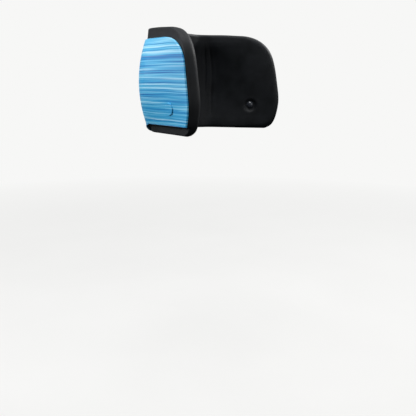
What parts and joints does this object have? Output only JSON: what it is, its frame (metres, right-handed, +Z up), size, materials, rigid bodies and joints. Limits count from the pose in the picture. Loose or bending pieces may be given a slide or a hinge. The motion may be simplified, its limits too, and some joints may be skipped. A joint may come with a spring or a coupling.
{
  "type": "chair headrest attachment",
  "caption": "Winged plastic headrest shell with an overhanging foam liner, tilting on a rear block that clamps to a vertical chair post.",
  "frame": {"origin": "on the axis of the chair's post, halfway up the clamp block's bore", "axes": "+Z up along the post, -Y towards the user, +X to the side of the two knobs"},
  "size_m": [0.2786, 0.2101, 0.1773],
  "materials": {
    "shell_plastic": "semi-gloss thermoformed sheet with blue streaks",
    "foam": "matt closed-cell foam",
    "black_plastic": "moulded, slightly glossy",
    "zinc_steel": "zinc plated",
    "coated_steel": "black powder coat",
    "cast_aluminium": "bead blasted",
    "nylon": "natural nylon",
    "brass": "machined"
  },
  "bodies": {
    "clamp": {"clamp_block": "cast_aluminium", "post_sleeve": "nylon", "threaded_inserts": "brass", "friction_washers": "nylon", "pivot_bolt": "zinc_steel"},
    "head": {"shell": "shell_plastic", "foam_liner": "foam", "wing_screws": "black_plastic", "wing_barrels": "zinc_steel", "wing_caps": "shell_plastic", "tilt_yoke": "coated_steel", "yoke_screws": "zinc_steel", "yoke_washers": "zinc_steel", "tee_nuts": "zinc_steel", "ear_bushes": "nylon"},
    "tilt_lock": {"tilt_knob": "black_plastic", "tilt_stud": "zinc_steel", "tilt_washer": "zinc_steel"},
    "clamp_pad": {"pressure_pad": "brass"},
    "clamp_lock": {"clamp_knob": "black_plastic", "clamp_stud": "zinc_steel"}
  },
  "joints": [
    {"name": "tilt", "type": "hinge", "parent": "clamp", "child": "head", "pos_m": [0, 0, 0.019], "axis": [1, 0, 0], "range_deg": [-25, 15]},
    {"name": "tilt_knob_turn", "type": "hinge", "parent": "clamp", "child": "tilt_lock", "pos_m": [0, 0, 0.019], "axis": [1, 0, 0], "range_deg": [0, 180]},
    {"name": "pad_travel", "type": "slide", "parent": "clamp", "child": "clamp_pad", "axis": [1, 0, 0], "range_m": [0, 0.002]},
    {"name": "clamp_knob_turn", "type": "hinge", "parent": "clamp_pad", "child": "clamp_lock", "pos_m": [0.03, 0, -0.024], "axis": [1, 0, 0], "range_deg": [0, 720]}
  ],
  "couplings": [
    {"joint": "clamp_knob_turn", "follows": "pad_travel", "rad_per_m": 6283.2}
  ]
}
